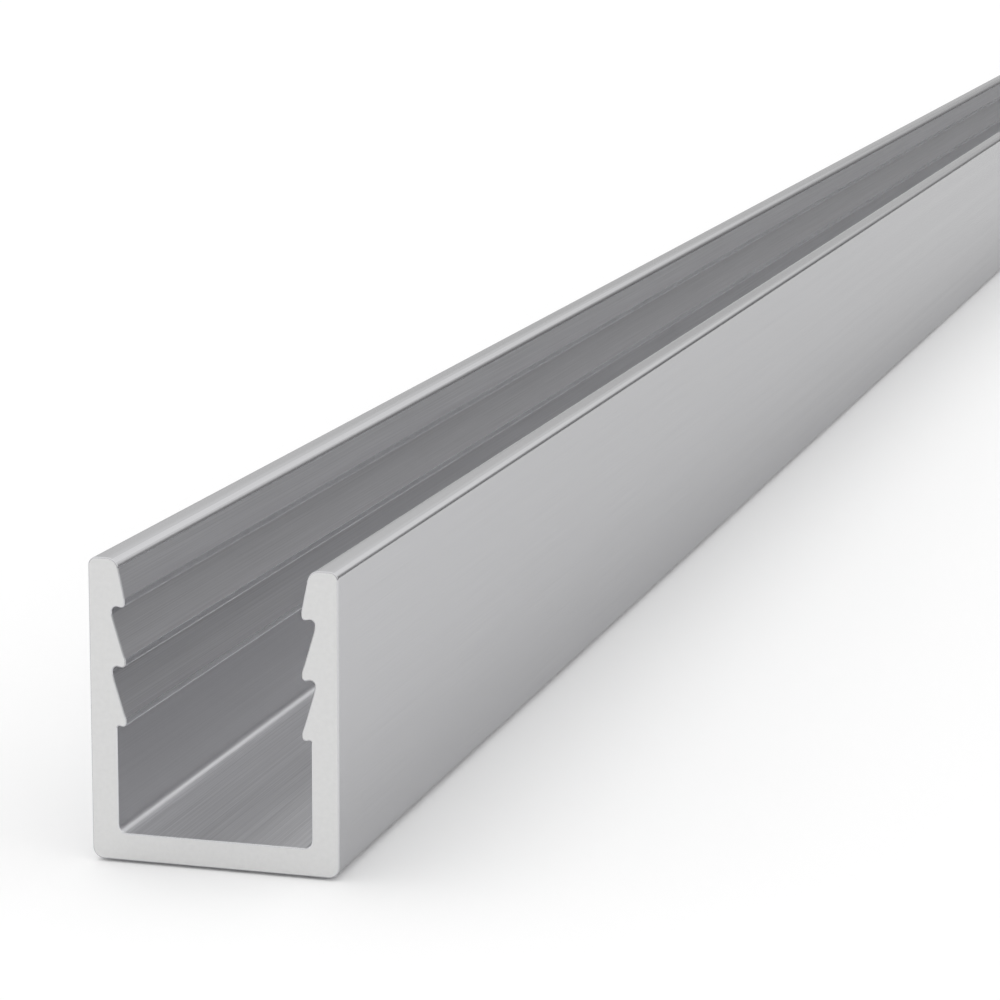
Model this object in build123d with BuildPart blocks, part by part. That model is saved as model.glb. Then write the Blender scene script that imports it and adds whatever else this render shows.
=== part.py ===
from build123d import *
import os

# Deep U-shaped channel, extruded in one piece, with hooked barbs down the inside of
# both legs that bite into a strip pressed in from above.
# It lies on its web with the open side up: X runs across the width, Y along the stock
# and Z up. The origin is the middle of the underside. Sizes are in millimetres.

# Stock
stock_length = 1000.0

# Web and legs
outer_width = 20.0
outer_height = 23.8
leg_thickness = 2.2
web_thickness = 2.2
crown_width = 2.3
base_corner_radius = 0.9
floor_corner_radius = 0.65
crown_outer_radius = 0.7
crown_inner_radius = 0.95

# Barbs, counted down each leg from its crown
barb_count = 3
crown_to_first_hook = 3.96
barb_pitch = 4.69
barb_reach = 0.75
lip_height = 0.8
lip_radius = 0.33
hook_rise = 0.25

# Notches cut into the leg above each lower barb, under the hook of the one above
notch_depth = 0.3
notch_land = 0.4
notch_radius = 0.36

# A rounding is held inside the short faces beside it
hook_underside = barb_reach + notch_depth
lip_rounding = min(lip_radius, 0.45 * barb_reach, 0.5 * lip_height)
notch_rounding = min(notch_radius, 0.35 * hook_underside, 0.6 * (notch_land + hook_rise))
last_hook_rounding = min(notch_radius, 0.2 * barb_reach)

# Faces of the right leg, by their distance from the centre plane
outer_face = outer_width / 2
crown_edge = outer_face - crown_width
wall_face = outer_face - leg_thickness
tip_face = wall_face - barb_reach
notch_face = wall_face + notch_depth

# Half of the section, walked from the underside up the outside of the right leg and
# back down its barbed inside, with the rounding of each corner
outline = [
    (0, 0),
    (outer_face, 0),
    (outer_face, outer_height),
    (crown_edge, outer_height),
]
roundings = [base_corner_radius, crown_outer_radius, crown_inner_radius]

for barb in range(barb_count):
    hook = outer_height - crown_to_first_hook - barb * barb_pitch

    # Foot of the notch, where the lead-in slope of a lower barb starts
    if barb > 0:
        outline.append((notch_face, hook + barb_pitch - notch_land))
        roundings.append(notch_rounding)

    # Lip of the barb, at the end of its lead-in slope
    outline += [(tip_face, hook + lip_height), (tip_face, hook)]
    roundings += [lip_rounding, lip_rounding]

    # Underside, which rises from the lip to the back of the hook
    if barb < barb_count - 1:
        outline.append((notch_face, hook + hook_rise))
        roundings.append(notch_rounding)
    else:
        outline.append((wall_face, hook + hook_rise))
        roundings.append(last_hook_rounding)

outline += [(wall_face, web_thickness), (0, web_thickness)]
roundings.append(floor_corner_radius)

# The section is the same on both sides, and the stock is that section at full length
with BuildPart() as channel_extrusion:
    with BuildSketch(Plane.XZ) as section:
        with BuildLine() as half_outline:
            FilletPolyline(*outline, radius=roundings)
            Line(outline[-1], outline[0])
        make_face()
        mirror(about=Plane.YZ)
    extrude(amount=stock_length / 2, both=True)

channel_extrusion.part.label = "channel_extrusion"

os.makedirs("parts", exist_ok=True)
export_step(channel_extrusion.part, "parts/channel_extrusion.step")
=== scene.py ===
import math

import bpy
from mathutils import Matrix, Vector


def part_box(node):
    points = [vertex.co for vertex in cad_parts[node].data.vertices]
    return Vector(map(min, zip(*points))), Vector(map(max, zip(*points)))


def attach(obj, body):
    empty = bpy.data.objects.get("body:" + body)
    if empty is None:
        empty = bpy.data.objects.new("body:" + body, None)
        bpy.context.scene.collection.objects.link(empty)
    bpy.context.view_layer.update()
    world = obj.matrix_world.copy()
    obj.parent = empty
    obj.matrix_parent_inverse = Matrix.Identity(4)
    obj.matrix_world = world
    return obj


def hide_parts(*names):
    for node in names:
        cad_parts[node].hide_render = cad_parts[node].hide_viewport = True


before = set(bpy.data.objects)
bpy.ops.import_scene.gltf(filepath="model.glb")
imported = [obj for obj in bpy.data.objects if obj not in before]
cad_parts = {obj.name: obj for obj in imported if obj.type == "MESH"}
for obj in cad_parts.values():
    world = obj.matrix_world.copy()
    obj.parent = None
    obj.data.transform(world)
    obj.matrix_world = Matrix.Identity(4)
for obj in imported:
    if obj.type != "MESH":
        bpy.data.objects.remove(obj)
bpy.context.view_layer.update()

# Channel
# One length of stock, pressed hot through a die, so its section is the same from end to
# end and every corner of it is rounded. Both ends are sawn square and lightly deburred.
mm = 0.001
stock_low, stock_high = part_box("channel_extrusion")
outer_face = stock_high.x
crown = stock_high.z
near_cut = stock_low.y
far_cut = stock_high.y

# The sizes of the section, as in the solid
leg_thickness = 2.2 * mm
web_thickness = 2.2 * mm
crown_width = 2.3 * mm
base_corner_radius = 0.9 * mm
floor_corner_radius = 0.65 * mm
crown_outer_radius = 0.7 * mm
crown_inner_radius = 0.95 * mm

barb_count = 3
crown_to_first_hook = 3.96 * mm
barb_pitch = 4.69 * mm
barb_reach = 0.75 * mm
lip_height = 0.8 * mm
lip_radius = 0.33 * mm
hook_rise = 0.25 * mm
notch_depth = 0.3 * mm
notch_land = 0.4 * mm
notch_radius = 0.36 * mm
last_hook_radius = 0.15 * mm

# The slopes are drawn a little hollow and the foot of each notch rounder than its back, for
# the way their shade runs off
slope_hollow = 0.1 * mm
slope_radius = 24 * mm
notch_foot_radius = 0.8 * mm

crown_edge = outer_face - crown_width
wall_face = outer_face - leg_thickness
lip_face = wall_face - barb_reach
notch_face = wall_face + notch_depth

# Right leg from the underside up its outside and down its barbed inside, one corner a
# line: place across, height and radius of the rounding
right_leg = [
    (outer_face, 0.0, base_corner_radius),
    (outer_face, crown, crown_outer_radius),
    (crown_edge, crown, crown_inner_radius),
]
for barb in range(barb_count):
    hook = crown - crown_to_first_hook - barb * barb_pitch
    if barb > 0:
        slope_top = hook + barb_pitch - notch_land
        right_leg.append((notch_face, slope_top, notch_foot_radius))
        slope_middle = (slope_top + hook + lip_height) / 2
        right_leg.append(((notch_face + lip_face) / 2 + slope_hollow, slope_middle, slope_radius))
    right_leg.append((lip_face, hook + lip_height, lip_radius))
    right_leg.append((lip_face, hook, lip_radius))
    if barb < barb_count - 1:
        right_leg.append((notch_face, hook + hook_rise, notch_radius))
    else:
        right_leg.append((wall_face, hook + hook_rise, last_hook_radius))
right_leg.append((wall_face, web_thickness, floor_corner_radius))
left_leg = [(-across, height, radius) for across, height, radius in reversed(right_leg)]


def rounded_section(corners, degrees_per_step=9):
    """Points round the section, each with the way the metal faces there"""
    walk = []
    for i, (across, height, radius) in enumerate(corners):
        corner = Vector((across, height))
        before = corner - Vector(corners[i - 1][:2])
        after = Vector(corners[(i + 1) % len(corners)][:2]) - corner
        before.normalize()
        after.normalize()
        turn = math.atan2(before.cross(after), before.dot(after))
        bulge = math.copysign(radius, turn)
        facing = Vector((before.y, -before.x))
        arc_start = corner - before * radius * math.tan(abs(turn) / 2)
        arc_centre = arc_start - facing * bulge
        steps = math.ceil(abs(math.degrees(turn)) / degrees_per_step)
        for step in range(steps + 1):
            turned = Matrix.Rotation(turn * step / steps, 2) @ facing
            walk.append((arc_centre + turned * bulge, turned))
    return walk


section = rounded_section(right_leg + left_leg)

# The burr of the saw is taken off, which leaves a small round along the edges of a cut
edge_break = 0.12 * mm
break_steps = 4
lengths_between_cuts = 20

# Each ring round the stock: place along it, how far in from the section, how much it
# faces along the stock and how much outwards
near_break = []
far_break = []
for step in range(break_steps + 1):
    angle = math.radians(90) * step / break_steps
    reach = edge_break * (1 - math.cos(angle))
    inset = edge_break * (1 - math.sin(angle))
    near_break.append((near_cut + reach, inset, -math.cos(angle), math.sin(angle)))
    far_break.append((far_cut - reach, inset, math.cos(angle), math.sin(angle)))
span = (far_cut - near_cut) / lengths_between_cuts
plain_rings = [(near_cut + span * i, 0.0, 0.0, 1.0) for i in range(1, lengths_between_cuts)]
rings = near_break + plain_rings + far_break[::-1]

points = []
facings = []
for along, inset, facing_along, facing_out in rings:
    for place, facing in section:
        edge = place - facing * inset
        points.append((edge.x, along, edge.y))
        facings.append((facing.x * facing_out, facing_along, facing.y * facing_out))

round_count = len(section)
faces = []
for ring in range(len(rings) - 1):
    start = ring * round_count
    for i in range(round_count):
        j = (i + 1) % round_count
        faces.append((start + i, start + j, start + round_count + j, start + round_count + i))
side_face_count = len(faces)
faces.append(tuple(range(round_count - 1, -1, -1)))
last_ring = (len(rings) - 1) * round_count
faces.append(tuple(range(last_ring, last_ring + round_count)))

channel_mesh = bpy.data.meshes.new("channel_extrusion_mesh")
channel_mesh.from_pydata(points, [], faces)
channel_mesh.flip_normals()
channel_mesh.normals_split_custom_set_from_vertices(facings)
channel = bpy.data.objects.new("channel_stock", channel_mesh)
bpy.context.scene.collection.objects.link(channel)


def stretched_grain(nodes, links, across_per_metre, along_per_metre, detail):
    """Noise drawn out along the stock, as the die and the saw leave their marks"""
    place = nodes.new("ShaderNodeTexCoord")
    stretch = nodes.new("ShaderNodeMapping")
    stretch.inputs["Scale"].default_value = (across_per_metre, along_per_metre, across_per_metre)
    grain = nodes.new("ShaderNodeTexNoise")
    grain.inputs["Scale"].default_value = 1.0
    grain.inputs["Detail"].default_value = detail
    links.new(place.outputs["Object"], stretch.inputs["Vector"])
    links.new(stretch.outputs["Vector"], grain.inputs["Vector"])
    return grain.outputs["Fac"]


# A mix node has several sockets of one name, so those for colours go by their numbers
first_colour = 6
second_colour = 7
mixed_colour = 2


def varied_tone(nodes, links, grain, tone, variation):
    """A grey that the grain makes a little darker and lighter"""
    shades = nodes.new("ShaderNodeMix")
    shades.data_type = "RGBA"
    shades.inputs[first_colour].default_value = (*(part * (1 - variation) for part in tone), 1)
    shades.inputs[second_colour].default_value = (*(part * (1 + variation) for part in tone), 1)
    links.new(grain, shades.inputs["Factor"])
    return shades.outputs[mixed_colour]


# Pressed faces: grey metal with a trace of blue and fine lines drawn along it by the die,
# smooth outside the channel and coarser on the barbs and the floor inside it
lines_per_metre = 13000
line_breaks_per_metre = 40
bands_per_metre = 900
band_breaks_per_metre = 4
die_detail = 2
blueness = 1.022


def pressed_aluminium(name, tone, edge_tone, streak, line_depth, dullness, smear):
    """One finish of the pressed metal. Its edge tone is how light it stays at a glancing
    angle, and its smear is how far the lines draw its shine out."""
    material = bpy.data.materials.new(name)
    material.use_nodes = True
    nodes = material.node_tree.nodes
    links = material.node_tree.links
    metal = nodes["Principled BSDF"]
    metal.inputs["Specular Tint"].default_value = (edge_tone, edge_tone, edge_tone, 1)
    metal.inputs["Metallic"].default_value = 1.0
    metal.inputs["Anisotropic"].default_value = smear

    die_lines = stretched_grain(nodes, links, lines_per_metre, line_breaks_per_metre, die_detail)
    grey = (tone, tone, tone * blueness)
    links.new(varied_tone(nodes, links, die_lines, grey, streak), metal.inputs["Base Color"])

    relief = nodes.new("ShaderNodeBump")
    relief.inputs["Strength"].default_value = 1.0
    relief.inputs["Distance"].default_value = line_depth
    links.new(die_lines, relief.inputs["Height"])
    links.new(relief.outputs["Normal"], metal.inputs["Normal"])

    sheen_bands = stretched_grain(nodes, links, bands_per_metre, band_breaks_per_metre, die_detail)
    roughness = nodes.new("ShaderNodeMapRange")
    roughness.inputs["To Min"].default_value = dullness[0]
    roughness.inputs["To Max"].default_value = dullness[1]
    links.new(sheen_bands, roughness.inputs["Value"])
    links.new(roughness.outputs["Result"], metal.inputs["Roughness"])

    round_the_stock = nodes.new("ShaderNodeTangent")
    round_the_stock.direction_type = "RADIAL"
    round_the_stock.axis = "Y"
    links.new(round_the_stock.outputs["Tangent"], metal.inputs["Tangent"])
    return material


# Cut faces: bright bare metal, faintly mottled by the fine teeth of the saw
saw_marks_per_metre = 2500
saw_detail = 3
saw_mottle = 0.05
sawn_grey = (0.726, 0.726, 0.723)
sawn_dullness = 0.5


def sawn_aluminium():
    """The bare metal of the two cut ends"""
    material = bpy.data.materials.new("sawn_aluminium")
    material.use_nodes = True
    nodes = material.node_tree.nodes
    links = material.node_tree.links
    metal = nodes["Principled BSDF"]
    metal.inputs["Metallic"].default_value = 1.0
    metal.inputs["Roughness"].default_value = sawn_dullness
    saw_marks = stretched_grain(nodes, links, saw_marks_per_metre, saw_marks_per_metre, saw_detail)
    sawn_tone = varied_tone(nodes, links, saw_marks, sawn_grey, saw_mottle)
    links.new(sawn_tone, metal.inputs["Base Color"])
    return material


# Tone and finish of each stretch of the section, set to look as in the photograph: smooth outside,
# lined on the floor and the slopes of the barbs, plain on the walls below them and soft in the floor's
# corners.
# Their tones are painted light and shade on the one metal: painted highlights on the corners of the
# crowns, in the floor's corners and on the lips, the floor and walls inside painted lighter than the
# outside, and a painted shade of its own on each slope
fine_depth = 0.002 * mm
coarse_depth = 0.006 * mm
faint_streak = 0.08
floor_streak = 0.35
slope_streak = 0.22

outside_tone = 0.6
# The corners of the crowns take a lighter tone than the rest of the outside: a painted highlight
crown_corner_highlight_tone = 0.685
outside_edge = 0.7
outside_dullness = (0.15, 0.25)
outside_smear = 0.25
outside_look = (outside_edge, faint_streak, fine_depth, outside_dullness, outside_smear)
smooth_outside = pressed_aluminium("smooth_outside", outside_tone, *outside_look)
painted_highlight_corners = pressed_aluminium("painted_highlight_corners", crown_corner_highlight_tone, *outside_look)

# The floor and the walls inside take lighter tones than the outside: painted light deep in the channel
floor_painted_light_tone = 0.655
wall_painted_light_tone = 0.722
# Each barb's slope takes a tone of its own: painted shade, darkest on the second
slope_painted_shade_tones = (0.62, 0.502, 0.583)
inside_edge = 1.0
inside_dullness = (0.25, 0.4)
inside_smear = 0.6
lined_look = (coarse_depth, inside_dullness, inside_smear)
lined_painted_light_floor = pressed_aluminium("lined_painted_light_floor", floor_painted_light_tone, inside_edge, floor_streak, *lined_look)
plain_painted_light_wall = pressed_aluminium("plain_painted_light_wall", wall_painted_light_tone, inside_edge, faint_streak, *lined_look)
lined_painted_shade_slopes = [
    pressed_aluminium(f"lined_painted_shade_slope_{i + 1}", tone, inside_edge, slope_streak, *lined_look)
    for i, tone in enumerate(slope_painted_shade_tones)
]

# The floor's corners take a lighter tone than the floor: a painted highlight along them
floor_corner_highlight_tone = 0.77
floor_corner_dullness = (0.32, 0.42)
floor_corner_look = (inside_edge, faint_streak, fine_depth, floor_corner_dullness, inside_smear)
soft_painted_highlight_corner = pressed_aluminium("soft_painted_highlight_corner", floor_corner_highlight_tone, *floor_corner_look)

# The lips take a lighter tone than the slopes: a painted highlight along them
lip_highlight_tone = 0.8
lip_dullness = (0.2, 0.3)
lip_look = (inside_edge, faint_streak, fine_depth, lip_dullness, inside_smear)
painted_highlight_lips = pressed_aluminium("painted_highlight_lips", lip_highlight_tone, *lip_look)

sawn_ends = sawn_aluminium()
outside_finishes = [smooth_outside, painted_highlight_corners]
inside_finishes = [lined_painted_light_floor, soft_painted_highlight_corner, plain_painted_light_wall, painted_highlight_lips, *lined_painted_shade_slopes]
finishes = [*outside_finishes, *inside_finishes, sawn_ends]
for finish in finishes:
    channel_mesh.materials.append(finish)

# Where one finish ends and the next begins. The smooth outside goes over the crown and
# down most of its inner rounding, and the painted highlight of the crowns' corners is where
# the metal is tipped between two angles from level, in degrees.
first_hook = crown - crown_to_first_hook
lowest_hook = first_hook - (barb_count - 1) * barb_pitch
smooth_share_of_rounding = 0.75
smooth_end = crown - smooth_share_of_rounding * crown_inner_radius
highlight_from = 27
highlight_to = 53
flattest = math.cos(math.radians(highlight_from))
steepest = math.cos(math.radians(highlight_to))
slack = 0.05 * mm


def finish_of(face):
    """The finish of one pressed face, by its place on the section"""
    across = abs(face.center.x)
    height = face.center.z
    if height > crown - crown_inner_radius and steepest < face.normal.z < flattest:
        return painted_highlight_corners
    if across > notch_face + slack or not web_thickness / 2 < height < smooth_end:
        return smooth_outside
    if height < web_thickness + slack:
        return lined_painted_light_floor
    if height < web_thickness + floor_corner_radius:
        return soft_painted_highlight_corner
    if height < lowest_hook:
        return plain_painted_light_wall
    if across < lip_face + slack:
        return painted_highlight_lips
    barb = math.ceil((first_hook - height) / barb_pitch)
    return lined_painted_shade_slopes[min(max(barb, 0), barb_count - 1)]


for end_face in channel_mesh.polygons[side_face_count:]:
    end_face.material_index = finishes.index(sawn_ends)
for side_face in channel_mesh.polygons[:side_face_count]:
    side_face.material_index = finishes.index(finish_of(side_face))

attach(channel, "root")
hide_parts("channel_extrusion")

# Table
# A wide matt top, about as white as the room behind it. It shows white to the camera and
# in the metal, and still takes the shadow of the stock.
table_radius = 8.0
table_sides = 128

# The table lies a hair below the stock all along it, for the dark line under its edges
gap_under_the_stock = 0.2 * mm


def looked_at(nodes, links):
    """One where the camera looks at a thing, straight or in the metal, and zero for its light"""
    ray = nodes.new("ShaderNodeLightPath")
    straight = nodes.new("ShaderNodeMath")
    at_all = nodes.new("ShaderNodeMath")
    links.new(ray.outputs["Is Camera Ray"], straight.inputs[0])
    links.new(ray.outputs["Is Glossy Ray"], straight.inputs[1])
    links.new(straight.outputs["Value"], at_all.inputs[0])
    links.new(ray.outputs["Is Transmission Ray"], at_all.inputs[1])
    return at_all.outputs["Value"]


bpy.ops.mesh.primitive_circle_add(
    vertices=table_sides, radius=table_radius, fill_type="NGON", location=(0, 0, -gap_under_the_stock))
table = bpy.context.object
table.name = "table_top"

# Where it is looked at, a small glow of its own brings the table up to plain white
table_white = 0.98
table_glow = 0.03
white_top = bpy.data.materials.new("white_top")
white_top.use_nodes = True
top_nodes = white_top.node_tree.nodes
top_links = white_top.node_tree.links
top_shader = top_nodes["Principled BSDF"]
top_shader.inputs["Base Color"].default_value = (table_white, table_white, table_white, 1)
top_shader.inputs["Roughness"].default_value = 1.0
top_shader.inputs["Specular IOR Level"].default_value = 0.0
top_shader.inputs["Emission Color"].default_value = (1, 1, 1, 1)
glow = top_nodes.new("ShaderNodeMapRange")
glow.inputs["To Max"].default_value = table_glow
top_links.new(looked_at(top_nodes, top_links), glow.inputs["Value"])
top_links.new(glow.outputs["Result"], top_shader.inputs["Emission Strength"])
white_top.cycles.emission_sampling = "NONE"
table.data.materials.append(white_top)

# Studio light
# A white room and one large soft lamp, high on the left, light the stock. The camera and
# the metal see the room as plain white, and don't see the lamp. The light that the room
# gives is a little less than that.
fill_light = 0.89
room = bpy.data.worlds.new("white_room")
room.use_nodes = True
room_nodes = room.node_tree.nodes
room_links = room.node_tree.links
brightness = room_nodes.new("ShaderNodeMapRange")
brightness.inputs["To Min"].default_value = fill_light
brightness.inputs["To Max"].default_value = 1.0
room_links.new(looked_at(room_nodes, room_links), brightness.inputs["Value"])
room_links.new(brightness.outputs["Result"], room_nodes["Background"].inputs["Strength"])
room_nodes["Background"].inputs["Color"].default_value = (1, 1, 1, 1)
bpy.context.scene.world = room

lamp_direction = Vector((-0.35, 0.2, 1.0))
lamp_spread = 40
lamp_strength = 0.44
soft_lamp = bpy.data.lights.new("soft_lamp", "SUN")
soft_lamp.angle = math.radians(lamp_spread)
soft_lamp.energy = lamp_strength
lamp = bpy.data.objects.new("soft_lamp", soft_lamp)
lamp.rotation_euler = lamp_direction.to_track_quat("Z", "Y").to_euler()
lamp.visible_glossy = False
bpy.context.scene.collection.objects.link(lamp)

# A low screen stands on the table all round the stock, hidden from the camera. It is grey
# along its top, and its foot is white on the left and dark on the right. The metal gets
# the greys of its crowns and the dark lines on its edges from it.
screen_radius = 2.2
screen_sides = 96
screen_height = 0.5
screen_foot_left = 1.0
screen_foot_right = 0.05
screen_top = 0.56

# The foot turns from white to dark within this share of the radius of the middle
screen_turn = 0.3
bpy.ops.mesh.primitive_cylinder_add(
    vertices=screen_sides, radius=screen_radius, depth=screen_height, end_fill_type="NOTHING",
    location=(0, 0, screen_height / 2))
screen = bpy.context.object
screen.name = "shaded_screen"
screen_cloth = bpy.data.materials.new("screen_cloth")
screen_cloth.use_nodes = True
screen_nodes = screen_cloth.node_tree.nodes
screen_links = screen_cloth.node_tree.links
screen_nodes.remove(screen_nodes["Principled BSDF"])
on_the_screen = screen_nodes.new("ShaderNodeTexCoord")
split_place = screen_nodes.new("ShaderNodeSeparateXYZ")
foot_shade = screen_nodes.new("ShaderNodeMapRange")
foot_shade.interpolation_type = "SMOOTHSTEP"
foot_shade.inputs["From Min"].default_value = -screen_turn * screen_radius
foot_shade.inputs["From Max"].default_value = screen_turn * screen_radius
foot_shade.inputs["To Min"].default_value = screen_foot_left
foot_shade.inputs["To Max"].default_value = screen_foot_right
shade = screen_nodes.new("ShaderNodeMapRange")
shade.inputs["From Min"].default_value = -screen_height / 2
shade.inputs["From Max"].default_value = screen_height / 2
shade.inputs["To Max"].default_value = screen_top
screen_glow = screen_nodes.new("ShaderNodeEmission")
screen_links.new(on_the_screen.outputs["Object"], split_place.inputs["Vector"])
screen_links.new(split_place.outputs["X"], foot_shade.inputs["Value"])
screen_links.new(foot_shade.outputs["Result"], shade.inputs["To Min"])
screen_links.new(split_place.outputs["Z"], shade.inputs["Value"])
screen_links.new(shade.outputs["Result"], screen_glow.inputs["Strength"])
screen_links.new(screen_glow.outputs["Emission"], screen_nodes["Material Output"].inputs["Surface"])
screen_cloth.cycles.emission_sampling = "NONE"
screen.data.materials.append(screen_cloth)
screen.visible_camera = False
screen.visible_shadow = False
screen.visible_diffuse = False

# Camera
# A long lens close to the near end, a little to the right of the stock and above it. Lens
# and sensor are in millimetres and the turns in degrees.
lens_length = 127.67
sensor_width = 36
nearest_seen = 0.01
furthest_seen = 50
camera_place = Vector((0.0907, -0.7454, 0.0803))
turned_left = 15.534
tipped_down = 11.166
rolled = 0.271

camera_data = bpy.data.cameras.new("camera")
camera_data.sensor_width = sensor_width
camera_data.lens = lens_length
camera_data.clip_start = nearest_seen
camera_data.clip_end = furthest_seen
camera = bpy.data.objects.new("camera", camera_data)
bpy.context.scene.collection.objects.link(camera)
camera.matrix_world = (
    Matrix.Translation(camera_place)
    @ Matrix.Rotation(math.radians(turned_left), 4, "Z")
    @ Matrix.Rotation(math.radians(90 - tipped_down), 4, "X")
    @ Matrix.Rotation(math.radians(rolled), 4, "Z")
)
bpy.context.scene.camera = camera
bpy.context.scene.view_settings.view_transform = "Standard"
